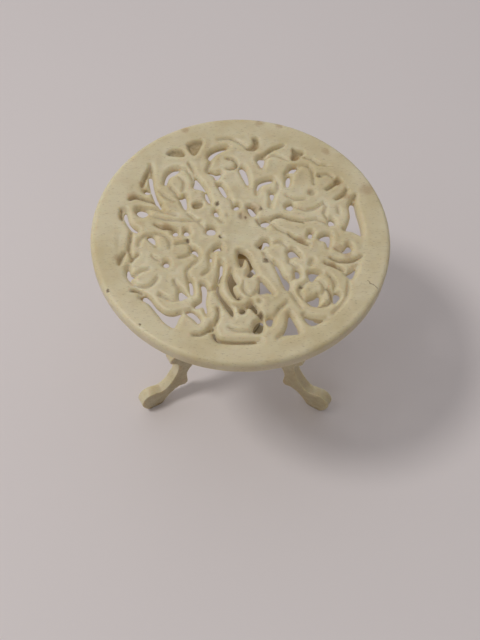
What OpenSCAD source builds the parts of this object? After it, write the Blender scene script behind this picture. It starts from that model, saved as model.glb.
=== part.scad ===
// Miniature tripod table in carved bone: a round pierced top that turns on a
// pin, a turned column, and three sawn scroll legs pegged to a drum.
// Frame: origin on the floor under the column, Z up, -Y is the front.

/* [Top] */
// Diameter of the round top
top_d = 42; // [38:0.5:48]
// Thickness of the round top
top_t = 2.4; // [2:0.1:3.4]
// Thickness of the carved middle of the top, hollowed from below
field_t = 1.6; // [1.5:0.1:1.9]
// Width of the plain rim, which keeps the full thickness
rim_w = 4; // [3.6:0.1:4.4]
// Height of the face of the top above the floor
table_h = 40.5; // [39:0.5:46]
// Depth of the fine carved lines in the face of the top
line_depth = 0.4; // [0.3:0.1:0.8]
// Depth of the broad carved hollows in the face of the top
hollow_depth = 0.8; // [0.6:0.1:1.1]
// How far the sides of the wide openings stand in from their drawn outlines
opening_in = 0.2; // [0.05:0.05:0.2]
// How far the sides of the narrow slits stand in from their drawn outlines
slit_in = 0.05; // [0:0.05:0.1]
// Radius of the worn edge round the face of the top
edge_r = 0.7; // [0.3:0.1:0.9]

/* [Boss and pin] */
// Diameter of the turned boss under the top
boss_d = 6.4; // [5.6:0.2:6.8]
// Height of the turned boss under the top
boss_h = 2.2; // [1.8:0.1:2.8]
// Diameter of the pin the top turns on
pin_d = 2.2; // [1.8:0.1:2.4]
// Gap all round between the pin and the bores it turns in
pin_gap = 0.05; // [0.02:0.01:0.08]

/* [Column] */
// Largest diameter of the swelling of the column
column_d = 6.8; // [5.6:0.2:7.6]
// Diameter of the spigot at the foot of the column
spigot_d = 3; // [2.4:0.2:3.4]

/* [Drum and legs] */
// Diameter of the drum the legs are pegged to
drum_d = 7.8; // [7:0.2:8.6]
// Height of the top of the drum above the floor
drum_top = 17.2; // [16.6:0.2:18]
// Height of the drum
drum_h = 6; // [5.4:0.2:6.4]
// Thickness of the sawn legs
leg_t = 1.8; // [1.6:0.1:2.6]
// Diameter of the pegs that hold the legs
peg_d = 1; // [0.8:0.1:1.2]

/* [Hidden] */

bone = [0.88, 0.84, 0.72];
bone_dark = [0.80, 0.74, 0.60];
bone_pale = [0.93, 0.90, 0.80];

top_r = top_d / 2;
top_z = table_h - top_t;
// the ornament is drawn for a top of 20.5 radius and grows with the top;
// the middle of its hub lies a little behind its own zero
ornament = top_r / 20.5;
hub = [0, 0.72];
// how much nearer the hub the left half stands, for each mm to the left
lean = [0.024, 0.018];
lower_edge = 0.35;
hub_r = boss_d / 2 + 1;
// folds up to this wide close, in the outlines and in the cuts
outline_fold = 0.06;
cut_fold = 0.02;
chamfer = 0.3;
// how far a cutter runs past the face it cuts
through = 1;
turned_fn = 64;
bore_fn = 32;

boss_z = top_z - boss_h;
shoulder_gap = 0.04;
column_top = boss_z - shoulder_gap;
pin_in_top = top_t / 2;
pin_in_column = 5;
pin_end_gap = 0.1;
peg_z = drum_top - 3;
peg_in = 1.5;
peg_out = 2.9;
spigot_h = 4.6;
drop_h = 3.6;
leg_angles = [210, -30, 90];

// ---- curves -----------------------------------------------------------
function spline(a, b, c, d, t) = 0.5 * (2 * b + (c - a) * t
  + (2 * a - 5 * b + 4 * c - d) * t * t + (3 * b - a - 3 * c + d) * t * t * t);

// smooth closed outline through the points p, n steps from one to the next
function outline(p, n) = let (m = len(p)) [for (i = [0:m - 1], k = [0:n - 1])
  spline(p[(i + m - 1) % m], p[i], p[(i + 1) % m], p[(i + 2) % m], k / n)];

// smooth open line through the points p
function line(p, n) = let (m = len(p)) [for (i = [0:m - 2], k = [0:n - 1])
  spline(p[max(i - 1, 0)], p[i], p[i + 1], p[min(i + 2, m - 1)], k / n), p[m - 1]];

// the left half of the ornament stands a little nearer the hub than drawn
function placed(p) = [for (q = p) q + max(0, -q[0]) * lean];

function unit(v) = v / norm(v);
function square_to(c, i) = let (m = len(c),
  d = unit(c[min(i + 1, m - 1)] - c[max(i - 1, 0)])) [-d[1], d[0]];
function taper(t, w) = w / 2 * pow(sin(180 * (0.12 + 0.76 * t)), 0.6);

// a cut of width w along a line, narrowing to both ends
function cut(p, w, n) = let (c = line(placed(p), n), m = len(c) - 1) concat(
  [for (i = [0:m]) c[i] + square_to(c, i) * taper(i / m, w)],
  [for (i = [m:-1:0]) c[i] - square_to(c, i) * taper(i / m, w)]);

// ---- ornament of the top, drawn from above ----------------------------
// wide openings sawn right through, each an outline
openings = [
  // back left: fork, rose and leaf
  [[-14.2, 7.6], [-13, 7.6], [-12.9, 6.6], [-13.9, 6.7]],
  [[-11.3, 8.4], [-11.1, 10.2], [-10.2, 11.4], [-8.9, 11.7], [-8.8, 11],
    [-9.5, 10.2], [-10.3, 9.6], [-10.6, 8.4]],
  [[-7, 10.5], [-6.2, 9.9], [-5, 8.1], [-4.2, 6], [-3.9, 5], [-4.5, 5.1],
    [-5.3, 6.4], [-5.5, 7.5], [-7.1, 7.9], [-6.9, 9.2]],
  [[-7.8, 7.1], [-8.6, 6.5], [-9.3, 7.1], [-9.4, 6.5], [-8.8, 5.6], [-8.3, 4.4],
    [-7.6, 3.7], [-7.5, 4.8], [-7.6, 5.8]],
  [[-4, 3.3], [-4, 4.4], [-3.3, 4.5], [-2.9, 3.4], [-3.4, 3]],
  [[-1.3, 4.5], [-1.1, 5.4], [-0.2, 5.6], [0, 4.9], [-0.6, 4.3]],
  [[-5.2, 10.8], [-4.6, 11.4], [-3.6, 11], [-2.7, 11.4], [-2.7, 10.6],
    [-3.6, 9.2], [-4.1, 10.2]],
  // back: the tall scroll
  [[-5, 13.3], [-4.9, 14.4], [-3.9, 15.3], [-2.7, 15.8], [-1.7, 15.9],
    [-1.8, 15.3], [-2.9, 14.6], [-3.8, 13.9], [-4.4, 13]],
  [[-0.5, 11.9], [-0.1, 12.4], [0.5, 12.2], [1, 11.3], [1.3, 9.8],
    [1.3, 8], [0.9, 8.3], [0.2, 9.9], [-0.3, 11.1]],
  [[2.1, 13.3], [2.6, 14.2], [3.6, 14.1], [3.5, 12.8], [3, 11.2], [2.6, 12.3]],
  // back right: flower and leaves
  [[6.6, 11.1], [6.8, 12], [7.5, 12.5], [8.4, 12.4], [8, 11.5], [7.5, 11]],
  [[2, 6.7], [2, 8.3], [2.3, 9.4], [3, 9.9], [4.4, 10.3], [4.9, 9.8],
    [4.2, 9.2], [3.4, 8.9], [2.7, 8.3], [2.4, 6.7]],
  [[3.8, 4.8], [4, 6.2], [3.8, 7.4], [4.2, 7.9], [4.9, 7.7], [4.8, 6.8],
    [4.5, 5.8], [4.3, 4.8]],
  [[6, 5], [6.4, 5.7], [7.3, 5.9], [7.5, 5], [7, 4.4], [6.4, 4.5]],
  [[2.6, 1.9], [2.6, 2.7], [3.9, 3], [4.2, 2.2], [3.7, 1.7], [3.6, 0.6],
    [3.2, 0.6], [3.1, 1.6]],
  [[12, 1.5], [11.9, 2.9], [12.4, 3.4], [13.1, 2.9], [13.1, 2], [12.5, 1.9]],
  [[16, 7], [15.4, 6.4], [14.9, 5.3], [15, 3.8], [14.7, 2.6], [14.2, 1.2],
    [15.3, 0.9], [16.7, 0.1], [16.8, 1.6], [16.6, 3.2], [16.3, 4.8]],
  // right: stacked leaves
  [[10.4, -0.5], [10.8, 0.4], [11.8, 0.8], [12.4, 0.5], [12.3, -0.8],
    [12, -2.2], [11.6, -1.9], [11.4, -0.8]],
  [[13.3, -2.4], [14, -1.6], [14.5, -0.8], [15.2, -1.4], [15.1, -2.2],
    [14.2, -2.7]],
  [[13.7, -5.9], [14.8, -5.2], [15.4, -4.2], [16.1, -3.7], [15.7, -4.9],
    [15.3, -5.9], [14.8, -6.8], [14.2, -6.6]],
  // left: double scroll
  [[-14.9, 3.2], [-15, 3.9], [-14.2, 4.4], [-13.2, 4], [-13, 3.2], [-13.6, 2.6],
    [-14.3, 2.7]],
  [[-16.4, 4.4], [-16.8, 3.1], [-16.5, 2], [-15.9, 0.9], [-15.2, 0.2],
    [-14.4, -0.1], [-14.1, 0.5], [-15, 1.2], [-15.6, 2], [-15.9, 3.1]],
  [[-5, 0.2], [-5, 1.2], [-4.2, 1.6], [-3.4, 1.2], [-3.4, 0.2], [-4.2, -0.1]],
  // front left: flower
  [[-13.2, -1], [-13.2, -0.3], [-12.3, -0.1], [-11.8, -0.8], [-11.6, -1.8],
    [-11.1, -2.8], [-11.6, -2.8], [-12.2, -1.9]],
  [[-7, -2.4], [-6.4, -2], [-5.8, -2.7], [-5.5, -3.6], [-5.6, -4.5],
    [-6, -4.1], [-6.3, -3.4], [-6.9, -3.1]],
  [[-10.9, -4.9], [-10.7, -4.4], [-10.2, -4.2], [-9.7, -4.5], [-9.6, -5],
    [-9.8, -5.4], [-10.3, -5.6], [-10.7, -5.4]],
  [[-14.9, -4.8], [-15.5, -5.4], [-15.8, -6.4], [-15.4, -7.6], [-14.5, -8.5],
    [-14.3, -7.9], [-14.6, -7.4], [-13.9, -7], [-14.8, -6.5], [-15, -5.6]],
  [[-13.4, -9.9], [-12.7, -9.6], [-11.9, -10.3], [-11, -11.5], [-9.9, -12.3],
    [-8.9, -12.4], [-7.9, -12], [-7.5, -12.3], [-8, -13.1], [-8.6, -14.7],
    [-9.2, -14.7], [-10.3, -13.9], [-11, -13], [-12.4, -11.2], [-13.8, -10.5]],
  // front: long petal, loop and trefoil
  [[-4.5, -3.1], [-4, -2.2], [-3.3, -1.6], [-2.6, -1.5], [-2.5, -2.6],
    [-3.4, -2.6], [-3.8, -3.3], [-3.8, -5], [-4.2, -5.4], [-4.5, -4.5]],
  [[2.2, -6.6], [2.8, -6.8], [3.7, -8], [4.7, -9.5], [3.4, -9.1], [2.6, -9.4],
    [2, -9], [2.3, -7.8]],
  [[2.9, -12.8], [4.5, -12.5], [4.3, -13.2], [4, -14.1], [3.4, -14.1]],
  // front right: fork and rose
  [[6, -11.9], [6.5, -12.1], [7.1, -13.4], [7.8, -15], [6.8, -15.4],
    [5.6, -15.5], [4.8, -16.1], [4.4, -15.8], [5.3, -14.8], [5.8, -13.6]],
  [[2, -1.6], [2.6, -0.9], [3.1, -0.4], [3.8, -0.5], [4.1, -1.2], [3.8, -1.8],
    [3.4, -1.6], [3, -2.2], [2.4, -2.1]],
  [[6.1, -2.6], [6.5, -1.9], [7.2, -1.9], [7.9, -2.7], [8.4, -3.3],
    [8, -3.7], [7.4, -3.3], [6.5, -3.6]],
  [[9.6, -3.4], [10, -4.4], [9.4, -4.8], [9.1, -5.5], [8.8, -5.1],
    [9.1, -4.4]],
  [[8.7, -5.9], [9.2, -5.4], [10.3, -5.5], [11.3, -6], [10.2, -6.3],
    [9.6, -7.3], [9, -7]],
  [[8.2, -10.1], [8.9, -9.7], [9.6, -9.4], [10.1, -8.9], [10.5, -9.4],
    [10.4, -10.2], [10.1, -11.1], [9.3, -11.1], [8.7, -10.6]],
  [[12.1, -8.6], [13, -8.8], [13.2, -9.5], [12.6, -10.4], [12, -10.8],
    [11.9, -9.8]],
  [[7.8, -11.4], [8.4, -12.2], [9.4, -12.6], [10.6, -12.7], [11.8, -12.3],
    [11.4, -12.9], [10.4, -13.5], [9.2, -14.1], [8.4, -13.5], [7.9, -12.5]]
];

// narrow slits sawn right through, each an outline
slits = [
  [[-13.5, 10], [-12.9, 10], [-12.6, 8.2], [-12, 6.2], [-11.1, 4.3],
    [-10.7, 3.6], [-11.6, 4.3], [-12.6, 6.1], [-13.2, 8.1]],
  [[-3.4, 8.8], [-2.8, 8.9], [-2.1, 7.6], [-1.9, 6.7], [-2.5, 6.9], [-2.9, 7.7]],
  [[6.9, 11], [7.1, 10.3], [6.9, 9], [6.5, 8.5], [6.3, 9], [6.4, 10.2]],
  [[0.8, 4.9], [1.3, 5.2], [2.2, 4], [1.9, 3.5], [1.4, 3.5]],
  [[9.1, 0.3], [9.4, 1], [9.9, 0.8], [9.6, -0.1], [9.2, -0.2]],
  [[-8, -0.2], [-8, 0.8], [-7.4, 0.8], [-7.1, 0]],
  [[-9.6, -0.1], [-9.6, 0.6], [-9, 0.8], [-8.7, 0.1], [-9.1, -0.3]],
  [[-7.5, -12.3], [-6.6, -11.9], [-5.8, -12.5], [-5.3, -13.3], [-5.6, -14],
    [-6.3, -13.2]],
  [[-8.4, -8.7], [-7.7, -9.1], [-7, -9.8], [-7.6, -10.2], [-8.3, -10.5]],
  [[-7.2, -7.2], [-6.6, -7.5], [-6.4, -8.6], [-6.4, -9.6], [-6.9, -9.4],
    [-7, -8.3]],
  [[-5.5, -7.8], [-4.8, -7.9], [-4.5, -8.9], [-4.7, -10.6], [-4.3, -12.6],
    [-4.7, -12.6], [-5.1, -11.3], [-5.7, -11.6], [-6.4, -11.4], [-5.9, -10.8],
    [-5.3, -10.3], [-5.3, -9]],
  [[-2.9, -4.1], [-2.5, -4.6], [-2.5, -6], [-2.9, -7.8], [-2.9, -8.8],
    [-2.3, -9.9], [-1.1, -11.4], [-0.9, -12.8], [-1.3, -12.6], [-2.1, -11.4],
    [-3.2, -9.5], [-3.4, -8.2], [-3, -6.2]],
  [[-1.3, -5.2], [-1, -6.6], [-0.4, -7.6], [-1, -8], [-0.9, -8.8],
    [-0.2, -10.1], [-0.8, -9.9], [-1.4, -9], [-1.9, -7.3], [-1.6, -6.2]],
  [[-0.5, -2.5], [0.4, -2.6], [1.1, -3.4], [1.6, -4.8], [2.2, -6.1],
    [1.7, -6], [1.3, -6.6], [0.7, -6.4], [1.1, -5.4], [1, -4.4], [0.5, -3.6],
    [0.2, -4.9], [-0.2, -4.8]],
  [[-0.3, -11.6], [0.3, -11.1], [0.7, -11.6], [0.3, -12.2], [-0.2, -12.1]],
  [[0.9, -11.1], [1.4, -10.4], [1.8, -10.8], [2.3, -11.9], [1.7, -12],
    [1.4, -11.5]],
  [[1.4, -14.8], [1.8, -13.5], [2.8, -13], [2.9, -13.9], [2.7, -14.9],
    [1.9, -15.1]],
  [[-4, -14.1], [-3.6, -13.9], [-3.4, -15.2], [-2.6, -16.1], [0, -16.2],
    [2.5, -16.1], [2.4, -16.5], [0.2, -16.8], [-2.6, -16.7], [-3.6, -16.1]],
  [[4.3, -4.2], [5, -4.6], [5.6, -6.2], [6.5, -7.2], [6.3, -8.5], [5.8, -8.3],
    [5, -6.2]],
  [[7.1, -5.4], [7.6, -5.2], [7.9, -5.8], [7.7, -6.6], [7.3, -6.5]]
];

// blind pockets, each an outline
pockets = [
  [[-8, 15.8], [-5.8, 16.7], [-6.1, 15.2], [-6.9, 13.8]],
  [[-10.9, 13.8], [-10.1, 14.7], [-8.7, 14.7], [-8.2, 13.7], [-9.5, 13.6]],
  [[0.6, 15.5], [1.2, 15.6], [1.9, 16.2], [1.7, 17.3], [2.5, 17.3],
    [2.5, 15.9], [2, 15.1], [1.1, 15]],
  [[7.4, 15.6], [8.2, 15.1], [9, 15], [9, 14.4], [8.5, 14.3], [8.2, 13.5],
    [7.2, 13.4], [7.6, 14.4]],
  [[13.3, 9.9], [13.8, 10.2], [14.3, 9.7], [14, 9.2], [13.5, 9.3]],
  [[-7, 5], [-6.3, 5.4], [-5.5, 5.4], [-5.6, 4.7], [-6.5, 4.3]]
];

// broad hollows that do not go through, each a width and a line
hollows = [
  [0.45, [[-16, 5.4], [-15, 6], [-13.6, 5.6], [-12.1, 5.2], [-11.3, 5]]],
  [0.4, [[-13.3, 11.2], [-13.9, 9.4], [-14.2, 7.7]]],
  [0.4, [[-15.3, 0.2], [-15.4, -1.8], [-15.4, -3.2], [-14.9, -4.2]]],
  [0.4, [[-15.8, -3.2], [-16.4, -4.2], [-16.6, -5.4]]],
  [0.4, [[-16.9, 3.9], [-16.9, 2.8], [-16.7, 2]]],
  [0.4, [[-13.3, 11.9], [-13.1, 10.9], [-13.1, 10]]],
  [0.4, [[-14, -3.5], [-14.7, -4.1], [-15.1, -4.9]]],
  [0.4, [[-14.8, -9.3], [-13.9, -9.3], [-13.2, -9.7]]],
  [0.45, [[-6.4, -15.6], [-5.3, -15.5], [-4.3, -14.9], [-3.7, -14.2]]],
  [0.4, [[-3.1, -11.4], [-3, -12.8], [-3.6, -14.2]]],
  [0.45, [[3.9, 2.7], [4.8, 3.2], [5.6, 3.4], [6.8, 2.9], [8.7, 2.5]]],
  [0.4, [[2.5, 13.8], [3.6, 14.5], [4.7, 15.4], [6.4, 16.1]]],
  [0.45, [[6.4, 0.5], [7.3, -0.3], [8.4, -0.9], [9.2, -1.4]]],
  [0.4, [[11.9, -3.4], [13.2, -4], [15, -3.9], [16.4, -3]]],
  [0.45, [[11.1, -4.2], [12.7, -4.8], [13.8, -5.6]]],
  [0.35, [[-2.2, 13.3], [-1.2, 13.3], [-0.6, 12.4], [-1.1, 11.6], [-2.2, 11.6]]],
  [0.4, [[13.9, 9.6], [12.9, 8.8], [12, 8]]],
  [0.4, [[15, 8.4], [14.5, 7.3], [13.2, 6.4]]],
  [0.4, [[15.8, 6.4], [16.2, 7.4]]],
  [0.4, [[11.2, -8.2], [11.8, -9], [11.9, -10.2]]],
  [0.4, [[10.1, -11], [11.2, -10.8], [11.8, -10.2]]],
  [0.4, [[-12.2, 1.4], [-11, 0.9], [-9.8, 0.9], [-9.2, 0.6]]],
  [0.4, [[0.4, -11.5], [1.2, -10.8]]],
  [0.4, [[1.9, -11.9], [2.5, -12.5], [2.8, -13.2]]]
];

// fine carved lines, each a width and a line
fine_lines = [
  [0.35, [[-3.5, 16.8], [-2, 17.2], [-0.8, 16.9], [0.4, 16], [0.9, 15.4]]],
  [0.4, [[-4.4, 13.1], [-4.7, 12], [-4.9, 11.1]]],
  [0.35, [[-3.6, 9], [-2.6, 7.3], [-1.6, 6.2], [-1, 5.3]]],
  [0.4, [[-7.7, 12.4], [-7.2, 11.5], [-6.8, 10.4]]],
  [0.35, [[-9, 11.4], [-8.1, 11.2], [-7.4, 10.4], [-7, 9.2]]],
  [0.35, [[-10.5, 8.5], [-9.8, 7.4], [-9.2, 6.9]]],
  [0.35, [[-9.2, 9.9], [-8.4, 9.2], [-8.2, 8.2], [-8.5, 7.2]]],
  [0.35, [[-12, 7.4], [-10.8, 6.2], [-9.4, 5.4]]],
  [0.35, [[-15, 4.2], [-12.6, 4.1], [-10.8, 3.6], [-8.9, 3]]],
  [0.35, [[-13.1, 3], [-10.6, 2.3], [-8, 2.2], [-5.4, 2.3]]],
  [0.35, [[-7.7, 3.5], [-6.6, 2.6], [-5.2, 1.2]]],
  [0.35, [[-3.4, 3], [-2.9, 2.4], [-2.4, 1.9]]],
  [0.3, [[0, 3.6], [0.1, 2.9]]],
  [0.3, [[-2, 3.5], [-1.8, 3]]],
  [0.35, [[2.1, 2.8], [2.5, 2.2], [2.9, 1.6]]],
  [0.3, [[-3, -0.3], [-2.5, -0.4]]],
  [0.35, [[3, -2.6], [3.5, -3.6], [4.4, -4.4]]],
  [0.35, [[6.3, 10.6], [6.6, 11.4]]],
  [0.35, [[8.3, 12.4], [9.6, 12.3], [10.2, 11.4], [10.4, 9]]],
  [0.35, [[8.9, 13.9], [10.2, 13.5], [11.2, 12.6], [12.5, 12.4]]],
  [0.35, [[10.9, 10.4], [12.3, 10.9], [13.2, 10.2]]],
  [0.35, [[11.4, 5.9], [11.9, 5.1], [11.5, 4], [12, 3]]],
  [0.35, [[13.5, 5.2], [13.6, 3.9]]],
  [0.35, [[6.2, 7], [7.6, 6.3], [9.2, 6.3]]],
  [0.35, [[7.4, 5.1], [9, 4.4], [10.6, 4.9], [11.4, 5.6]]],
  [0.35, [[5, 9.6], [5.3, 8.4], [4.8, 7.4]]],
  [0.35, [[3.4, 13.6], [4.6, 14.2], [6, 13.7], [7, 13.2]]],
  [0.35, [[-14.2, -2.4], [-14, -1.2], [-13.2, -0.4]]],
  [0.35, [[-12.1, -0.1], [-10.9, -0.4], [-10, -1.1], [-9.8, -2.6]]],
  [0.4, [[-9.2, -1.8], [-8, -1.4], [-7.1, -1.8], [-6.8, -2.6]]],
  [0.4, [[-6.9, -3], [-7.4, -3.6], [-8.7, -4]]],
  [0.3, [[-12.3, -3.7], [-11.8, -4.2], [-11, -4.6]]],
  [0.4, [[-14.5, -6.9], [-13.7, -6.3], [-12.4, -5.8]]],
  [0.4, [[-14.4, -8.3], [-13, -8.7], [-11.9, -8.2], [-11.2, -7]]],
  [0.35, [[-11, -9.4], [-10.3, -10.1], [-9.2, -10.6], [-8.3, -10.4]]],
  [0.35, [[-9.1, -7.4], [-8.7, -8.2], [-8, -9]]],
  [0.35, [[-7.1, -7.3], [-7.4, -6], [-6.6, -4.9], [-5.8, -4.3]]],
  [0.4, [[-4.2, -5.2], [-4.6, -6], [-5.4, -6.6]]],
  [0.4, [[-4.9, -8.5], [-4.1, -8.8], [-3.4, -8.3]]],
  [0.35, [[-1.2, -10.9], [-0.1, -11.3]]],
  [0.35, [[0.4, -7.3], [0.3, -8.6], [1.2, -9.6], [2, -9]]],
  [0.35, [[-0.5, -9.6], [0.3, -9.9]]],
  [0.35, [[-1.7, -14.3], [-0.4, -14.9], [1.4, -14.9]]],
  [0.35, [[4.4, -12.6], [5, -11.4], [6.2, -10.4]]],
  [0.35, [[6.3, -8.5], [6.9, -9.6], [7.8, -11.4]]],
  [0.35, [[8.2, -10], [7.6, -9], [8, -7.9], [9, -7.1]]],
  [0.35, [[10.5, -9.3], [11, -8.4], [10.6, -7.3], [9.7, -6.9]]],
  [0.35, [[11.3, -6], [12, -6.6], [12.4, -7.6], [12.2, -8.6]]],
  [0.35, [[14.2, -7], [14.1, -8.4], [13.4, -10.2], [11.8, -12.2]]],
  [0.35, [[6.6, -3.5], [6.4, -4.2], [7.6, -5.1]]],
  [0.35, [[4.2, -1.3], [5.4, -1], [6.3, -1.9]]],
  [0.35, [[6.5, -7.1], [7.1, -6.6], [7.2, -6.2]]],
  [0.35, [[12.4, -1.6], [13.4, -2.3]]],
  [0.35, [[8.8, 2.6], [10.4, 2.9], [11.9, 2.2]]],
  [0.35, [[4.2, 2.2], [5, 1.2], [6.6, 0.3]]]
];

// round dimples, each a position and a radius
dimples = [[[9.95, 7.5], 0.5], [[11.1, 10.6], 0.3], [[10.4, 9.1], 0.25],
  [[2.4, -10.4], 0.3], [[8, -8], 0.3], [[-7.3, -1], 0.3], [[-1.7, 6.4], 0.25],
  [[-3.4, 5.3], 0.3], [[-10.5, -9.7], 0.25], [[14.2, 1.4], 0.3]];

// holds outlines in and closes the small folds where one turns back on itself
module tidy(fold, in = 0) {
  offset(r = fold, $fn = 8) offset(delta = -fold - in) children();
}

// outlines as they lie on the top, held in by a distance
module outlines_plan(outlines, in = 0) {
  tidy(outline_fold, in) scale(ornament) translate(-hub)
    for (p = outlines) polygon(outline(placed(p), 2));
}

module cuts_plan(cuts) {
  tidy(cut_fold) for (c = cuts) polygon(cut(c[1], c[0], 2));
}

// a layer of cuts of depth d below the face of the top
module carve_top(d) {
  translate([0, 0, top_t - d]) linear_extrude(d + through)
    scale(ornament) translate(-hub) children();
}

// ---- pieces -----------------------------------------------------------
module pierced_top() {
  color(bone) translate([0, 0, top_z]) difference() {
    top_blank();
    rotate_extrude($fn = 144) polygon([[hub_r, -through],
      [hub_r, top_t - field_t], [top_r - rim_w, top_t - field_t],
      [top_r - rim_w, -through]]);
    translate([0, 0, -through]) linear_extrude(top_t + 2 * through) {
      outlines_plan(openings, opening_in);
      outlines_plan(slits, slit_in);
    }
    translate([0, 0, top_t - hollow_depth]) linear_extrude(hollow_depth + through)
      outlines_plan(pockets);
    carve_top(hollow_depth) cuts_plan(hollows);
    carve_top(line_depth) cuts_plan(fine_lines);
    carve_top(line_depth)
      for (d = dimples) translate(d[0]) circle(r = d[1], $fn = 16);
    translate([0, 0, -through]) cylinder(r = pin_d / 2 + pin_gap,
      h = through + pin_in_top, $fn = bore_fn);
  }
}

// the turned disc before it is pierced: worn upper edge, small lower edge
module top_blank() {
  rotate_extrude($fn = 144) polygon(concat(
    [[0, 0], [top_r - lower_edge, 0], [top_r, lower_edge]],
    [for (a = [0:22.5:90]) [top_r - edge_r + edge_r * cos(a),
      top_t - edge_r + edge_r * sin(a)]],
    [[0, top_t]]));
}

module top_boss() {
  boss_r = boss_d / 2;
  color(bone_dark) translate([0, 0, boss_z]) difference() {
    rotate_extrude($fn = turned_fn) polygon(concat([[0, 0]],
      line([[boss_r * 0.62, 0], [boss_r * 0.7, boss_h * 0.14],
        [boss_r * 0.68, boss_h * 0.28], [boss_r * 0.78, boss_h * 0.45],
        [boss_r * 0.96, boss_h * 0.64]], 3),
      [[boss_r, boss_h * 0.75], [boss_r, boss_h], [0, boss_h]]));
    translate([0, 0, -through]) cylinder(r = pin_d / 2 + pin_gap,
      h = boss_h + 2 * through, $fn = bore_fn);
  }
}

module top_pin() {
  pin_top = top_z + pin_in_top - pin_end_gap;
  pin_low = column_top - pin_in_column;
  color(bone_pale) rotate_extrude($fn = bore_fn)
    polygon([[0, pin_low], [pin_d / 2, pin_low], [pin_d / 2, pin_top - chamfer],
      [pin_d / 2 - chamfer, pin_top], [0, pin_top]]);
}

// turned profile of the column: radius and height, drum to shoulder
function column_profile() = let (r = column_d / 2, low = drum_top,
  h = column_top - drum_top) line([[2.9, low], [3.1, low + 0.035 * h],
  [2.9, low + 0.07 * h], [2, low + 0.11 * h], [1.7, low + 0.17 * h],
  [2.3, low + 0.24 * h], [r * 0.94, low + 0.33 * h], [r, low + 0.41 * h],
  [r * 0.88, low + 0.5 * h], [2, low + 0.6 * h], [1.55, low + 0.68 * h],
  [1.5, low + 0.75 * h], [1.75, low + 0.8 * h], [2.35, low + 0.825 * h],
  [2.35, low + 0.85 * h], [1.8, low + 0.88 * h], [1.7, low + 0.93 * h],
  [2, low + 0.97 * h], [2.1, column_top]], 3);

module column() {
  color(bone) difference() {
    rotate_extrude($fn = turned_fn) polygon(concat(
      [[0, drum_top - spigot_h], [spigot_d / 2, drum_top - spigot_h],
        [spigot_d / 2, drum_top]],
      column_profile(), [[0, column_top]]));
    translate([0, 0, column_top - pin_in_column])
      cylinder(d = pin_d, h = pin_in_column + through, $fn = bore_fn);
  }
}

// drum with a small turned drop below; bores for the spigot and the pegs
module leg_drum() {
  r = drum_d / 2;
  low = drum_top - drum_h;
  color(bone_dark) difference() {
    rotate_extrude($fn = turned_fn) polygon(concat([[0, low - drop_h]],
      line([[0.5, low - drop_h], [1.2, low - 0.83 * drop_h],
        [1.3, low - 0.64 * drop_h], [0.9, low - 0.47 * drop_h],
        [1.1, low - 0.33 * drop_h], [2.2, low - 0.22 * drop_h],
        [r * 0.8, low - 0.08 * drop_h], [r - chamfer, low]], 3),
      [[r, low + chamfer], [r, drum_top - chamfer], [r - chamfer, drum_top],
        [0, drum_top]]));
    translate([0, 0, drum_top - spigot_h])
      cylinder(d = spigot_d, h = spigot_h + through, $fn = bore_fn);
    for (a = leg_angles) peg_at(a);
  }
}

// a round peg along the radius at angle a, half in the drum, half in a leg
module peg_at(a) {
  rotate([0, 0, a]) translate([drum_d / 2 - peg_in, 0, peg_z])
    rotate([0, 90, 0]) cylinder(d = peg_d, h = peg_in + peg_out, $fn = 24);
}

// outline of the leg: distance from the column and height
leg_points = [[3, 15.6], [4.6, 15.8], [6.6, 16.2], [8.6, 16.1], [10.4, 15.5],
  [11.9, 14.8], [12.8, 14], [13, 13.1], [12.5, 12.3], [11.8, 11.7],
  [11.6, 10.4], [11.9, 8.9], [12.5, 7.4], [13.3, 6], [14.3, 4.9], [15.1, 4.6],
  [15.9, 4.9], [16.9, 5.2], [17.9, 4.9], [18.6, 4.1], [18.9, 3], [18.7, 1.8],
  [18.2, 0.8], [17.6, 0], [16.4, 0], [15.2, 0], [14.6, 0.9], [13.8, 2],
  [12.7, 2.9], [11.5, 3.3], [10.6, 3], [10, 3.6], [10, 4.8],
  [10.1, 6.2], [9.8, 7.6], [9, 8.8], [7.6, 9.9], [5.6, 10.7], [3, 11.1]];
// farther out and higher than any leg goes
leg_reach = 24;

// a sawn leg at angle a, hollowed to fit the drum and bored for its peg
module leg_at(a) {
  rotate([0, 0, a]) difference() {
    rotate([90, 0, 0]) linear_extrude(leg_t, center = true) intersection() {
      polygon(outline(leg_points, 2));
      square(leg_reach);
    }
    cylinder(d = drum_d, h = leg_reach, $fn = turned_fn);
    peg_at(0);
  }
}

module leg_left() { color(bone) leg_at(leg_angles[0]); }
module leg_right() { color(bone) leg_at(leg_angles[1]); }
module leg_back() { color(bone) leg_at(leg_angles[2]); }

module peg_left() { color(bone_pale) peg_at(leg_angles[0]); }
module peg_right() { color(bone_pale) peg_at(leg_angles[1]); }
module peg_back() { color(bone_pale) peg_at(leg_angles[2]); }

pierced_top();
top_boss();
top_pin();
column();
leg_drum();
leg_left();
leg_right();
leg_back();
peg_left();
peg_right();
peg_back();
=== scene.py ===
"""Looks for the miniature tripod table: carved pierced bone top, turned column and
drum, three sawn scroll legs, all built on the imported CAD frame."""

import math

import bpy
import numpy as np
from mathutils import Matrix, Vector, noise
from mathutils.bvhtree import BVHTree


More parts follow.
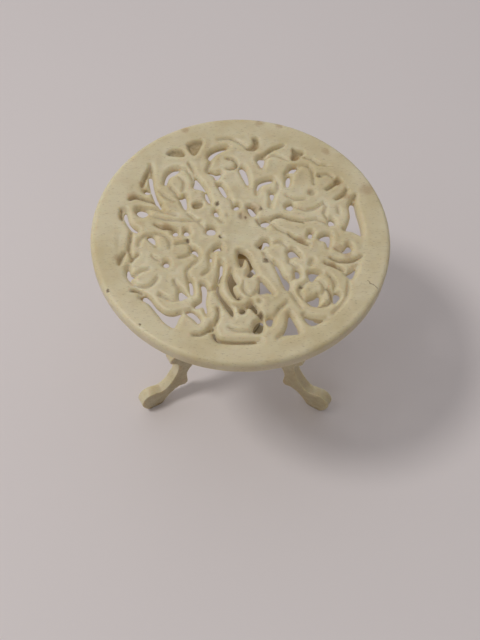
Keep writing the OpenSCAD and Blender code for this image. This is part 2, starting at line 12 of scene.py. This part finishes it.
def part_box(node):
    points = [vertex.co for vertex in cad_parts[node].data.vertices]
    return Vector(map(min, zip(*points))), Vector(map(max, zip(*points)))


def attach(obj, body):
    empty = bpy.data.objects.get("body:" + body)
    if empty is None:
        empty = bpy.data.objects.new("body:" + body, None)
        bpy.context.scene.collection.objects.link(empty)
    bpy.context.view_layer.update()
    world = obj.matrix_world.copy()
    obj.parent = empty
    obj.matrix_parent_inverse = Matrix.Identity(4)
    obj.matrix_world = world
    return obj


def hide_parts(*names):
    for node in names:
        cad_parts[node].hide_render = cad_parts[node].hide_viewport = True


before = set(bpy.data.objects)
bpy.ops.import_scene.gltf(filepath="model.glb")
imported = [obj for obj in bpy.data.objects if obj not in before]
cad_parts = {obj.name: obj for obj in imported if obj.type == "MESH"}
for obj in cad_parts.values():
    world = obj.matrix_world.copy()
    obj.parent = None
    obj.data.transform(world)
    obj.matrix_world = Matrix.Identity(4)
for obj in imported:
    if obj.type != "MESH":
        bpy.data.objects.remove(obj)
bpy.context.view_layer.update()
MM = 1000.0
TOP_LO, TOP_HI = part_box("pierced_top")
UNDER = TOP_LO.z * MM                      # underside of the top, mm above the floor
FACE = TOP_HI.z * MM                       # face of the top
TOP_R = (TOP_HI.x - TOP_LO.x) / 2 * MM
STEP = 0.1                                 # spacing of the plan grid, mm
REACH = TOP_R + 0.6                        # half the width of the plan grid
CELLS = int(round(2 * REACH / STEP)) + 1
RIM_STARTS = TOP_R - 4.0                   # where the carved middle gives way to
RIM_FULL = TOP_R - 3.2                     # the plain rim
CARVED_R = TOP_R - 1                       # no carving lies farther out than this
MOST_TOP = 190000                          # triangles in the finished top
MOST_LEG = 36000                           # and in a finished leg


# ---- small tools ----------------------------------------------------------
def smoothstep(lo, hi, v):
    t = np.clip((v - lo) / (hi - lo), 0, 1)
    return t * t * (3 - 2 * t)


def cad_mesh(node):
    """Corner positions in mm and triangles of a CAD node."""
    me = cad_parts[node].data
    return positions(me, MM), triangles(me)


def tree_of(co, tri):
    return BVHTree.FromPolygons(co.tolist(), tri.tolist())


def shape(name, co, faces):
    """A new object from mm positions."""
    me = bpy.data.meshes.new(name)
    me.from_pydata((np.asarray(co) / MM).tolist(), [], np.asarray(faces).tolist())
    me.validate()
    ob = bpy.data.objects.new(name, me)
    bpy.context.scene.collection.objects.link(ob)
    return ob


def positions(me, scale=1.0):
    co = np.empty(len(me.vertices) * 3)
    me.vertices.foreach_get("co", co)
    return co.reshape(-1, 3) * scale


def move_to(me, co):
    me.vertices.foreach_set("co", co.ravel())
    me.update()


def triangles(me):
    me.calc_loop_triangles()
    tri = np.empty(len(me.loop_triangles) * 3, np.int32)
    me.loop_triangles.foreach_get("vertices", tri)
    return tri.reshape(-1, 3)


def baked(ob):
    """The object's mesh with its modifiers applied; the object itself is removed."""
    dg = bpy.context.evaluated_depsgraph_get()
    me = bpy.data.meshes.new_from_object(ob.evaluated_get(dg))
    bpy.data.objects.remove(ob)
    return me


def voxel_mesh(co, tri, voxel, soften):
    """An even mesh over the solid with its edges worn round, in mm."""
    me = bpy.data.meshes.new("work")
    me.from_pydata(co.tolist(), [], tri.tolist())
    ob = bpy.data.objects.new("work", me)
    bpy.context.scene.collection.objects.link(ob)
    m = ob.modifiers.new("voxel", "REMESH")
    m.mode, m.voxel_size, m.adaptivity = "VOXEL", voxel, 0
    if soften:
        s = ob.modifiers.new("soften", "SMOOTH")
        s.factor, s.iterations = 0.5, soften
    return baked(ob)


def thinned(me, most):
    """The mesh with about that many triangles at most, flat places thinned first."""
    tris = sum(len(p.vertices) - 2 for p in me.polygons)
    if tris <= most:
        return me
    ob = bpy.data.objects.new("work", me)
    bpy.context.scene.collection.objects.link(ob)
    ob.modifiers.new("thin", "DECIMATE").ratio = most / tris
    return baked(ob)


def finished(name, me, body, replaced, material):
    """The mesh, in mm, as a named piece of the object in metres."""
    me.transform(Matrix.Scale(1 / MM, 4))
    me.name = name
    me.shade_smooth()
    ob = bpy.data.objects.new(name, me)
    bpy.context.scene.collection.objects.link(ob)
    me.materials.clear()
    me.materials.append(material)
    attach(ob, body)
    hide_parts(*replaced)
    return ob


def normals(me):
    """Unit normals of the corners."""
    n = np.empty(len(me.vertices) * 3)
    me.vertices.foreach_get("normal", n)
    return n.reshape(-1, 3)


def mark(me, name, values):
    """Keep a value for each corner, for the material to read."""
    a = me.attributes.new(name, "FLOAT", "POINT")
    a.data.foreach_set("value", np.asarray(values, np.float32))


# ---- the plan of the top, read from the CAD -------------------------------
def distance(mask, most=26):
    """Distance in mm from every cell to the nearest cell of the mask, right up to
    that many cells away."""
    d = np.where(mask, 0.0, float(most))
    for i in range(1, d.shape[1]):
        d[:, i] = np.minimum(d[:, i], d[:, i - 1] + 1)
    for i in range(d.shape[1] - 2, -1, -1):
        d[:, i] = np.minimum(d[:, i], d[:, i + 1] + 1)
    sq = d * d
    best = sq.copy()
    for k in range(1, most):
        best[k:] = np.minimum(best[k:], sq[:-k] + k * k)
        best[:-k] = np.minimum(best[:-k], sq[k:] + k * k)
    return np.sqrt(best) * STEP


def blur(grid, sigma):
    """The grid softened by a bell curve of that width in mm."""
    n = int(math.ceil(3 * sigma / STEP))
    taps = [math.exp(-0.5 * (k * STEP / sigma) ** 2) for k in range(-n, n + 1)]
    total = sum(taps)
    for axis in (0, 1):
        grid = sum(np.roll(grid, k - n, axis) * w for k, w in enumerate(taps)) / total
    return grid


def at(grid, x, y):
    """The grid's value at positions in mm, interpolated."""
    u = np.clip((x + REACH) / STEP, 0, CELLS - 1.001)
    v = np.clip((y + REACH) / STEP, 0, CELLS - 1.001)
    i, j = u.astype(int), v.astype(int)
    fu, fv = u - i, v - j
    return ((grid[j, i] * (1 - fu) + grid[j, i + 1] * fu) * (1 - fv)
            + (grid[j + 1, i] * (1 - fu) + grid[j + 1, i + 1] * fu) * fv)


def read_plan():
    """Depth of the CAD's carving below the face at every cell, and the cells' places.
    Where a ray finds nothing, in the openings and outside, it is deeper than the top."""
    co, tri = cad_mesh("pierced_top")
    tree = tree_of(co, tri)
    axis = np.linspace(-REACH, REACH, CELLS)
    depth = np.full((CELLS, CELLS), 9.0)
    down = Vector((0, 0, -1))
    for j, y in enumerate(axis):
        half = TOP_R * TOP_R - y * y
        if half <= 0:
            continue
        half = math.sqrt(half)
        for i in np.nonzero(np.abs(axis) < half)[0]:
            hit = tree.ray_cast(Vector((axis[i], y, FACE + 1)), down)[0]
            if hit is not None:
                depth[j, i] = FACE - hit.z
    x, y = np.meshgrid(axis, axis)
    return depth, x, y


def lumps(x, y, size, seed, octaves=3):
    """Smooth random relief, about -1 to 1, on the plan grid."""
    rng = np.random.default_rng(seed)
    total = np.zeros_like(x)
    weight = 0
    for o in range(octaves):
        cell = size / 2 ** o
        n = int(2 * REACH / cell) + 4
        table = rng.uniform(-1, 1, (n, n))
        u, v = (x + REACH) / cell + 1, (y + REACH) / cell + 1
        i, j = u.astype(int), v.astype(int)
        fu, fv = u - i, v - j
        fu, fv = fu * fu * (3 - 2 * fu), fv * fv * (3 - 2 * fv)
        part = ((table[j, i] * (1 - fu) + table[j, i + 1] * fu) * (1 - fv)
                + (table[j + 1, i] * (1 - fu) + table[j + 1, i + 1] * fu) * fv)
        total += part / 2 ** o
        weight += 1 / 2 ** o
    return total / weight


# how the carving has worn, mm
DEEP = 0.4                 # below this the hollows are worn shallower than cut,
KEPT = 0.6                 # to this share of the rest of their depth
EDGES = 0.14               # softening of the cut edges
OPENING_REACH = 0.8        # how far back from an opening the wear and thinning run
OPENING_WEAR = 0.5         # the wear at the brink of an opening in the middle,
RIM_SPARED = 0.2           # and how much less of it there is beside the rim
CUT_REACH = 0.6            # the same beside any cut
CUT_WEAR = 0.14
GROUND_WEAR = 0.14         # dishing of the ground away from the cuts
THINNED = 0.6              # how far the underside rises at the brink of an opening
# the hand-made unevenness: size, seed, octaves, height in the middle, height overall
UNEVEN = ((2.4, 5, 3, 0.05, 0.015), (0.9, 11, 2, 0.05, 0.004))


def fading(distances, reach, power):
    """1 at distance 0, falling to 0 at the reach."""
    return (1 - np.clip(distances / reach, 0, 1)) ** power


def plan_fields():
    """Over the plan: the face's relief, the rise of the underside, the distance to
    the nearest opening and the depth of the cuts."""
    depth, x, y = read_plan()
    r = np.hypot(x, y)
    outside = r >= TOP_R - 0.02
    opened = (depth > FACE - UNDER) & ~outside
    cut = ((depth > 0.2) & (r < CARVED_R)) | opened
    to_open = distance(opened)
    to_cut = distance(cut)
    solid = (~opened & ~outside).astype(float)
    carved = np.where(opened | outside | (r > CARVED_R), 0, depth)
    carved = np.minimum(carved, DEEP + KEPT * np.maximum(carved - DEEP, 0))
    relief = -blur(carved, EDGES) / np.maximum(blur(solid, EDGES), 0.25)
    rim = smoothstep(RIM_STARTS, RIM_FULL, r)
    relief -= (OPENING_WEAR - RIM_SPARED * rim) * fading(to_open, OPENING_REACH, 2)
    relief -= CUT_WEAR * fading(to_cut, CUT_REACH, 2)
    relief -= GROUND_WEAR * smoothstep(0.5, 1.5, to_cut) * (1 - rim)
    for size, seed, octaves, middle, overall in UNEVEN:
        relief += (middle * (1 - rim) + overall) * lumps(x, y, size, seed, octaves)
    relief = np.minimum(blur(relief, 0.06), 0)
    lift = THINNED * fading(to_open, OPENING_REACH, 1.5) * (1 - rim)
    return {"relief": relief, "lift": blur(lift, 0.06),
            "to_open": blur(to_open, 0.05), "carved": blur(carved, 0.08)}


# ---- materials ------------------------------------------------------------
# colours of aged bone, with one brown for dirt and painted shade
PALE = (0.71, 0.64, 0.445)
WARM = (0.62, 0.53, 0.325)
CLOUD = (0.60, 0.48, 0.28, 1)
PORE = (0.24, 0.16, 0.08, 1)
DIRT_AND_SHADE = (0.28, 0.172, 0.045, 1)
PATCH = (0.36, 0.20, 0.08, 1)
SPECK_AND_SHADE = (0.13, 0.07, 0.026, 1)
HAIRLINE = (0.16, 0.10, 0.05, 1)
# tints of the turned pieces, darker as painted shade of the top over them, and of the pin
# and pegs
TURNED_SHADE_TINT = (0.79, 0.73, 0.61)
PEG_TINT = (1.05, 1.05, 1.1)
# marks on the top, of age and of painted shade: place in plan and radius, mm
WARM_PATCHES = [(18.2, 7.6, 1.3), (14.7, -3.8, 0.9), (13.4, -2.6, 0.8), (8.3, -1.3, 0.9),
                (1.8, 4.1, 1.2), (8.2, 13.7, 1.0), (2.3, 15.4, 0.9), (-15.6, 5.8, 1.0),
                (-10.6, 0.6, 0.9), (14.2, 8.8, 0.9), (15.2, 6.4, 0.8), (-14.4, 8, 0.6),
                (12.5, -5.4, 0.8), (2.8, 20, 0.9), (5.8, 19.4, 0.7), (-8.4, 18.4, 0.8),
                (0.3, 2.6, 1.1), (-17, -4.8, 0.7), (12.6, 14.6, 0.8)]
# dark specks of age; the last four are painted shade on the walls of the openings in
# front of the hub, where the shaded stand below shows through
DARK_SPECKS_AND_SHADE = [(-3.4, 4.8, 0.4), (-2.9, -1, 0.3), (1.6, 3.9, 0.5), (2.8, 3.8, 0.4),
               (8.8, 1.5, 0.35), (-7.3, -1.7, 0.4), (11.5, 10, 0.35), (3.4, -4.9, 0.5),
               (8.1, -9, 0.35), (-17.8, -10.1, 0.3), (-13.3, -15.3, 0.28),
               (2.7, 20.6, 0.35), (-10.7, -18.4, 0.4), (-8.9, -19.3, 0.35),
               (0.6, 2.3, 0.35), (1.5, -12.3, 0.7), (0.2, -12.9, 0.6),
               (-0.4, -10.9, 0.5), (2.6, -13.4, 0.6)]
# a hairline crack in the rim, from end to end
CRACK = ((17.1, -7.9), (18.4, -9.2))
CRACK_HALF_WIDTH = 0.07


class Nodes:
    """A material's node tree with short ways to add and join nodes."""

    def __init__(self, name):
        self.material = bpy.data.materials.new(name)
        self.material.use_nodes = True
        self.tree = self.material.node_tree
        self.tree.nodes.clear()

    def add(self, kind, inputs=None, **settings):
        n = self.tree.nodes.new(kind)
        for k, v in settings.items():
            setattr(n, k, v)
        for k, v in (inputs or {}).items():
            if isinstance(v, bpy.types.NodeSocket):
                self.tree.links.new(v, n.inputs[k])
            else:
                n.inputs[k].default_value = v
        return n

    def maths(self, how, a, b=0.0, clamp=False):
        return self.add("ShaderNodeMath", {0: a, 1: b}, operation=how,
                        use_clamp=clamp).outputs[0]

    def vector(self, how, a, b, output="Vector"):
        return self.add("ShaderNodeVectorMath", {0: a, 1: b},
                        operation=how).outputs[output]

    def mix(self, share, a, b):
        n = self.add("ShaderNodeMix", data_type="RGBA")
        for i, v in ((0, share), (6, a), (7, b)):
            if isinstance(v, bpy.types.NodeSocket):
                self.tree.links.new(v, n.inputs[i])
            else:
                n.inputs[i].default_value = v
        return n.outputs[2]

    def ramp(self, value, *stops):
        """Greys at places along the value, joined by straight slopes."""
        n = self.add("ShaderNodeValToRGB", {0: value})
        for element, (place, grey) in zip(n.color_ramp.elements, stops):
            element.position = place
            element.color = (grey, grey, grey, 1)
        return n.outputs[0]

    def noise(self, where, scale, detail=4.0, rough=0.55):
        return self.add("ShaderNodeTexNoise", {"Vector": where, "Scale": scale,
                        "Detail": detail, "Roughness": rough}).outputs["Fac"]

    def scaled(self, where, x, y, z):
        return self.add("ShaderNodeMapping", {"Vector": where,
                        "Scale": (x, y, z)}).outputs[0]

    def with_surface(self, surface):
        out = self.add("ShaderNodeOutputMaterial")
        self.tree.links.new(surface.outputs[0], out.inputs[0])
        return self.material


def spots(n, where, marks):
    """1 inside each mark (x, y, radius) of the plan, in mm, fading to 0 outside."""
    total = 0.0
    for x, y, r in marks:
        d = n.vector("DISTANCE", where, (x, y, 0), "Value")
        near = n.add("ShaderNodeMapRange", {"Value": d, "From Min": r * 0.35,
                     "From Max": r, "To Min": 1.0, "To Max": 0.0}).outputs[0]
        total = n.maths("MAXIMUM", near, total)
    return total


def mark_place(n):
    """Where the marks are looked up: the plan in mm, strayed a little, with the depth
    below the worn edge as its height, so that a mark fades down the rim's wall."""
    place = n.add("ShaderNodeSeparateXYZ", {0: n.scaled(
        n.add("ShaderNodeTexCoord").outputs["Object"], MM, MM, MM)})
    x, y, z = place.outputs
    below = n.maths("MAXIMUM", n.maths("SUBTRACT", FACE - 0.3, z), 0)
    plan = n.add("ShaderNodeCombineXYZ", {0: x, 1: y}).outputs[0]
    r = n.add("ShaderNodeVectorMath", {0: plan}, operation="LENGTH").outputs["Value"]
    # in the carved middle the depth counts for less, so the dark spots run down the walls
    # of the openings as painted shade
    below = n.maths("MULTIPLY", below, n.add("ShaderNodeMapRange", {
        "Value": r, "From Min": TOP_R - 4, "From Max": TOP_R - 3,
        "To Min": 0.15, "To Max": 1.0}).outputs[0])
    where = n.add("ShaderNodeCombineXYZ", {0: x, 1: y, 2: below}).outputs[0]
    stray = n.add("ShaderNodeTexNoise", {"Vector": where, "Scale": 1.6,
                  "Detail": 3.0}).outputs["Color"]
    stray = n.vector("MULTIPLY", stray, (0.9, 0.9, 0))
    return n.vector("SUBTRACT", n.vector("ADD", where, stray), (0.45, 0.45, 0))


def crack(n, where):
    """1 on the hairline crack, 0 elsewhere."""
    (ax, ay), (bx, by) = CRACK
    length = math.hypot(bx - ax, by - ay)
    way = ((bx - ax) / length, (by - ay) / length, 0)
    start = n.vector("SUBTRACT", where, (ax, ay, 0))
    along = n.vector("DOT_PRODUCT", start, way, "Value")
    across = n.vector("DOT_PRODUCT", start, (-way[1], way[0], 0), "Value")
    inside = n.maths("LESS_THAN", n.maths("ABSOLUTE", n.maths(
        "SUBTRACT", along, length / 2)), length / 2)
    thin = n.maths("LESS_THAN", n.maths("ABSOLUTE", across), CRACK_HALF_WIDTH)
    return n.maths("MULTIPLY", inside, thin)


def stained_and_shaded(n, colour):
    """The marks on the top: dark specks of age, with some spots of painted shade among
    them, warm patches and a hairline.
    """
    where = mark_place(n)
    colour = n.mix(n.maths("MULTIPLY", spots(n, where, WARM_PATCHES), 0.4), colour, PATCH)
    # dark specks, and spots of painted shade where the shaded stand is seen through the
    # openings
    colour = n.mix(n.maths("MULTIPLY", spots(n, where, DARK_SPECKS_AND_SHADE), 0.78), colour, SPECK_AND_SHADE)
    return n.mix(n.maths("MULTIPLY", crack(n, where), 0.6), colour, HAIRLINE)


def bone(name, grain=(1, 1, 1), tint=(1, 1, 1), dirt_and_shade_amount=1.0, gloss=0.42, marks=False):
    """Aged, polished bone: cream with warm patches, fine pores along the grain, and a
    brown mix of dirt and painted shade where the pieces mark it. grain squeezes the pores
    along each axis."""
    n = Nodes(name)
    where = n.scaled(n.add("ShaderNodeTexCoord").outputs["Object"], MM, MM, MM)
    along = n.scaled(where, *grain)
    pale = tuple(c * t for c, t in zip(PALE, tint)) + (1,)
    warm = tuple(c * t for c, t in zip(WARM, tint)) + (1,)
    patches = n.noise(where, 0.16, 5, 0.6)
    colour = n.mix(n.ramp(patches, (0.42, 0), (0.66, 1)), pale, warm)
    cloud = n.noise(along, 0.9, 6, 0.6)
    colour = n.mix(n.maths("MULTIPLY", n.ramp(cloud, (0.45, 0), (0.7, 1)), 0.25),
                   colour, CLOUD)
    pores = n.ramp(n.noise(along, 5.5, 3, 0.5), (0.60, 0), (0.70, 1))
    colour = n.mix(n.maths("MULTIPLY", pores, 0.35), colour, PORE)
    dirt_and_shade = n.add("ShaderNodeAttribute", attribute_name="dirt_and_shade").outputs["Fac"]
    uneven = n.ramp(n.noise(where, 1.3, 5, 0.65), (0.3, 0.45), (0.7, 1.25))
    dirt_and_shade = n.maths("MULTIPLY", n.maths("MULTIPLY", dirt_and_shade, uneven), dirt_and_shade_amount, clamp=True)
    # the brown mix stands for dirt and for painted shade, as much as the pieces mark
    colour = n.mix(dirt_and_shade, colour, DIRT_AND_SHADE)
    if marks:
        colour = stained_and_shaded(n, colour)
    rough = n.maths("ADD", n.maths("MULTIPLY", dirt_and_shade, 0.25),
                    n.maths("MULTIPLY", cloud, 0.12))
    rough = n.maths("ADD", rough, gloss - 0.05)
    height = n.maths("ADD", n.maths("MULTIPLY", pores, -0.5),
                     n.maths("MULTIPLY", cloud, 0.5))
    bump = n.add("ShaderNodeBump", {"Height": height, "Strength": 0.25,
                                    "Distance": 0.00008}).outputs[0]
    bsdf = n.add("ShaderNodeBsdfPrincipled", {
        "Base Color": colour, "Roughness": rough, "Normal": bump, "IOR": 1.5,
        "Subsurface Weight": 0.75, "Subsurface Scale": 0.0014,
        "Subsurface Radius": (1.0, 0.8, 0.5)})
    return n.with_surface(bsdf)


# ---- pieces ---------------------------------------------------------------
def worn_positions(me, fields, thick):
    """Where the corners of the pierced disc go: the face takes the relief, and the
    underside rises beside the openings."""
    co = positions(me)
    x, y, z = co.T
    near = at(fields["to_open"], x, y)
    target = thick + at(fields["relief"], x, y)
    r = np.hypot(x, y)
    edge = smoothstep(TOP_R - 0.9, TOP_R - 0.3, r)
    target = target * (1 - edge) + np.minimum(target, z) * edge
    free = smoothstep(0.05, 0.25, near) * (1 - edge)
    face = free * target + (1 - free) * np.minimum(z, target)
    field = z[(r > 6) & (r < TOP_R - 5)].min()
    lift = at(fields["lift"], x, y) * (r < TOP_R - 4.1)
    under = np.maximum(z, np.minimum(field + lift, target - 0.25))
    co[:, 2] = np.where(z > thick - 0.75, face, np.where(z < field + 0.8, under, z))
    return co


def top_dirt_and_shade(me, fields):
    """Darker on the walls of the openings and in the cuts, as dirt and painted shade, and
    painted shade on the underside.
    """
    x, y, z = positions(me).T
    below = np.clip(FACE - z, 0, None)
    near = at(fields["to_open"], x, y)
    # the walls of the openings darken the deeper they lie below the face: dirt and
    # painted shade
    wall = (1 - smoothstep(0.0, 0.22, near)) * smoothstep(0.4, 2.0, below)
    carved = at(fields["carved"], x, y)
    # the cuts darken with their depth: dirt and painted shade
    groove = (0.36 * smoothstep(0.12, 0.5, carved)
              + 0.28 * smoothstep(0.45, 0.6, carved)) * (below < 1.6)
    # painted shade: faces turned downwards are darkened
    under = 0.35 * (normals(me)[:, 2] < -0.5)
    return np.clip(np.maximum.reduce([0.28 * wall, groove, under]), 0, 1)


def carved_top(fields, material):
    co, tri = cad_mesh("pierced_top")
    co[:, 2] -= UNDER
    thick = FACE - UNDER
    # fill in the CAD's stepped carving, so that only the openings are left
    inner = (np.hypot(co[:, 0], co[:, 1]) < CARVED_R) & (co[:, 2] > thick / 2 + 0.05)
    co[inner, 2] = thick
    me = voxel_mesh(co, tri, 0.15, 3)
    co = worn_positions(me, fields, thick)
    co[:, 2] += UNDER
    # a second even mesh over the worn shape, so that no faces are left folded
    me = thinned(voxel_mesh(co, triangles(me), 0.12, 1), MOST_TOP)
    co = positions(me)
    co[:, 2] = np.clip(co[:, 2], UNDER, FACE)
    move_to(me, co)
    mark(me, "dirt_and_shade", top_dirt_and_shade(me, fields))
    return finished("carved_top", me, "top", ["pierced_top"], material)


def carved_leg(name, node, seed, material):
    """A sawn leg with its edges worn, a little uneven, never below the floor."""
    co, tri = cad_mesh(node)
    me = voxel_mesh(co, tri, 0.1, 8)
    co = positions(me)
    wave = np.array([noise.noise(Vector(p) * 0.7 + Vector((seed, 0, 0))) for p in co])
    co += normals(me) * (wave * 0.05 - 0.03)[:, None]
    co[:, 2] = np.clip(co[:, 2], 0, None)
    move_to(me, co)
    me = thinned(me, MOST_LEG)
    mark(me, "dirt_and_shade", leg_dirt_and_shade(me, node))
    return finished(name, me, "stand", [node], material)


def leg_dirt_and_shade(me, node):
    """Darker in the hollows; painted shade on the sawn sides, near the floor and
    underneath.
    """
    lo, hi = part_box(node)
    out = Vector((lo.x + hi.x, lo.y + hi.y, 0)).normalized()
    normal = normals(me)
    sawn = np.abs(normal @ np.array((-out.y, out.x, 0)))
    z = positions(me)[:, 2]
    # painted shade: the sawn sides, the lowest 1.2 mm by the floor and the faces turned
    # downwards are darkened
    painted_shade = (0.3 * smoothstep(0.55, 0.95, sawn) + 0.35 * (1 - smoothstep(0, 1.2, z))
             + 0.25 * smoothstep(0.2, 0.9, -normal[:, 2]))
    return np.clip(0.8 * curvature(me) + painted_shade, 0, 1)


def curvature(me):
    """0 on open ground, up to 1 in grooves, from how far a corner lies below its
    neighbours."""
    co = positions(me)
    normal = normals(me)
    edge = np.empty(len(me.edges) * 2, np.int32)
    me.edges.foreach_get("vertices", edge)
    a, b = edge.reshape(-1, 2).T
    total = np.zeros(len(co))
    count = np.zeros(len(co))
    d = co[b] - co[a]
    length = np.maximum(np.linalg.norm(d, axis=1), 1e-6)
    for i, s in ((a, 1), (b, -1)):
        np.add.at(total, i, s * (d * normal[i]).sum(1) / length)
        np.add.at(count, i, 1)
    value = total / np.maximum(count, 1)
    for _ in range(2):
        spread = np.zeros(len(co))
        np.add.at(spread, a, value[b])
        np.add.at(spread, b, value[a])
        value = 0.5 * value + 0.5 * spread / np.maximum(count, 1)
    return smoothstep(0.05, 0.3, value)


def outline_of(node, z):
    """Radius of a turned CAD node at each height, read by rays from the front."""
    tree = tree_of(*cad_mesh(node))
    radius = []
    for h in z:
        hit = tree.ray_cast(Vector((0.03, -20, h)), Vector((0, 1, 0)))[0]
        radius.append(-hit.y if hit is not None else 0.3)
    return np.array(radius)


def lathe_faces(rings, sides):
    """Faces over rings of corners between two end points, the first and the last."""
    last = rings * sides + 1
    faces = []
    for k in range(sides):
        q = (k + 1) % sides
        faces.append((0, 1 + q, 1 + k))
        for i in range(rings - 1):
            a = 1 + i * sides
            faces.append((a + k, a + q, a + sides + q, a + sides + k))
        a = 1 + (rings - 1) * sides
        faces.append((a + k, a + q, last))
    return faces


def turned(name, node, body, lo, hi, material, sides=112, step=0.09):
    """A lathe-turned piece over the CAD node's outline, with fine tool rings."""
    n = max(8, int(round((hi - lo) / step)))
    z = np.linspace(lo + 0.004, hi - 0.004, n)
    radius = outline_of(node, z)
    soft = np.convolve(np.pad(radius, 1, mode="edge"), [0.25, 0.5, 0.25], "valid")
    rng = np.random.default_rng(len(name))
    soft = soft - 0.012 * rng.random(n) - 0.01
    angle = np.linspace(0, 2 * math.pi, sides, endpoint=False)
    wobble = 1 + 0.004 * np.sin(2 * angle + 0.7)
    ring = [np.stack([r * np.cos(angle) * wobble, r * np.sin(angle) * wobble,
                      np.full(sides, h)], 1) for r, h in zip(soft, z)]
    points = np.concatenate([[[0, 0, lo]]] + ring + [[[0, 0, hi]]])
    me = bpy.data.meshes.new(name)
    me.from_pydata(points.tolist(), [], lathe_faces(n, sides))
    me.validate()
    # how far each ring lies inside the run of rings about it
    about = np.convolve(np.pad(soft, 5, mode="edge"), np.ones(11) / 11, "valid")
    cavity = np.repeat(smoothstep(0.02, 0.35, about - soft), sides)
    # painted shade: a little dark all over the turned pieces, which stand under the top,
    # and more in the hollows between the rings
    mark(me, "dirt_and_shade", 0.9 * np.concatenate([[0.3], cavity, [0.3]]) + 0.07)
    return finished(name, me, body, [node], material)


def small_parts(material):
    """The pin and the pegs keep their CAD meshes and only take a material."""
    for node in ("top_pin", "peg_left", "peg_right", "peg_back"):
        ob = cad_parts[node]
        ob.data.materials.clear()
        ob.data.materials.append(material)


# ---- stage ----------------------------------------------------------------
def paper():
    n = Nodes("paper")
    where = n.add("ShaderNodeTexCoord").outputs["Object"]
    shade = n.noise(where, 9, 3)
    colour = n.mix(shade, (0.76, 0.70, 0.70, 1), (0.80, 0.745, 0.74, 1))
    bsdf = n.add("ShaderNodeBsdfPrincipled", {"Base Color": colour, "Roughness": 0.9,
                                              "Specular IOR Level": 0.2})
    return n.with_surface(bsdf)


def floor(half=3000):
    ob = shape("floor", [[-half, -half, 0], [half, -half, 0], [half, half, 0],
                         [-half, half, 0]], [[0, 1, 2, 3]])
    ob.data.materials.append(paper())


def lamp(name, place, target, size, power, colour):
    light = bpy.data.lights.new(name, "AREA")
    light.shape, light.size, light.energy, light.color = "DISK", size, power, colour
    ob = bpy.data.objects.new(name, light)
    bpy.context.scene.collection.objects.link(ob)
    ob.location = place
    ob.rotation_euler = (Vector(target) - Vector(place)).to_track_quat(
        "-Z", "Y").to_euler()


def room(bright_from=(-0.45, 0.45, 0.75), dimmest=0.03, brightest=0.62, backdrop=0.6):
    """Soft light, brightest from one direction; straight to the camera it is an even
    pale backdrop."""
    world = bpy.data.worlds.new("room")
    world.use_nodes = True
    tree = world.node_tree
    where = tree.nodes.new("ShaderNodeTexCoord")
    facing = tree.nodes.new("ShaderNodeVectorMath")
    facing.operation = "DOT_PRODUCT"
    facing.inputs[1].default_value = Vector(bright_from).normalized()
    ramp = tree.nodes.new("ShaderNodeMapRange")
    for i, v in enumerate((-0.5, 1.0, dimmest, brightest)):
        ramp.inputs[i + 1].default_value = v
    seen = tree.nodes.new("ShaderNodeMix")
    seen.inputs[3].default_value = backdrop
    path = tree.nodes.new("ShaderNodeLightPath")
    back = tree.nodes["Background"]
    back.inputs[0].default_value = (1, 0.985, 0.99, 1)
    tree.links.new(where.outputs["Generated"], facing.inputs[0])
    tree.links.new(facing.outputs["Value"], ramp.inputs[0])
    tree.links.new(path.outputs["Is Camera Ray"], seen.inputs[0])
    tree.links.new(ramp.outputs[0], seen.inputs[2])
    tree.links.new(seen.outputs[0], back.inputs[1])
    bpy.context.scene.world = world


def camera(place=(-0.002752, -0.069673, 0.137718), turn=(2.678, 60.35, -3.018),
           lens=47.88, sensor=36):
    """Stands in front and above, rolled a little, as the picture was taken. turn is
    yaw, pitch down and roll, in degrees."""
    yaw, pitch, roll = (math.radians(a) for a in turn)
    ahead = Vector((math.sin(yaw) * math.cos(pitch), math.cos(yaw) * math.cos(pitch),
                    -math.sin(pitch)))
    right = Vector((math.cos(yaw), -math.sin(yaw), 0))
    down = ahead.cross(right)
    across = right * math.cos(roll) + down * math.sin(roll)
    lower = down * math.cos(roll) - right * math.sin(roll)
    data = bpy.data.cameras.new("camera")
    data.lens, data.sensor_width = lens, sensor
    data.clip_start, data.clip_end = 0.005, 20
    ob = bpy.data.objects.new("camera", data)
    bpy.context.scene.collection.objects.link(ob)
    axes = Matrix((across, -lower, -ahead)).transposed()
    ob.matrix_world = Matrix.Translation(place) @ axes.to_4x4()
    bpy.context.scene.camera = ob


# ---- build ----------------------------------------------------------------
carved_top(plan_fields(), bone("bone_top", grain=(0.35, 1.2, 1), marks=True))
for i, side in enumerate(("left", "right", "back")):
    carved_leg(side + "_leg", "leg_" + side, 7.0 * i,
               bone("leg_" + side + "_bone", grain=(1, 1, 0.35), dirt_and_shade_amount=1.1))
# the turned pieces take a darker tint and more of the brown mix: painted shade of the top
# above them
turned_bone = bone("bone_turned", grain=(1, 1, 0.3), tint=TURNED_SHADE_TINT, dirt_and_shade_amount=1.2)
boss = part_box("top_boss")
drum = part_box("leg_drum")
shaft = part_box("column")
turned("turned_column", "column", "stand", drum[1].z * MM, shaft[1].z * MM, turned_bone)
turned("turned_drum", "leg_drum", "stand", drum[0].z * MM, drum[1].z * MM, turned_bone)
turned("turned_boss", "top_boss", "top", boss[0].z * MM, boss[1].z * MM, turned_bone)
small_parts(bone("bone_peg", grain=(1, 1, 0.4), tint=PEG_TINT))
floor()
lamp("key", place=(-0.205, -0.03, 0.40), target=(0, 0, 0.03), size=0.08, power=0.56,
     colour=(1.0, 0.98, 0.95))
room()
camera()
bpy.context.scene.view_settings.view_transform = "Standard"
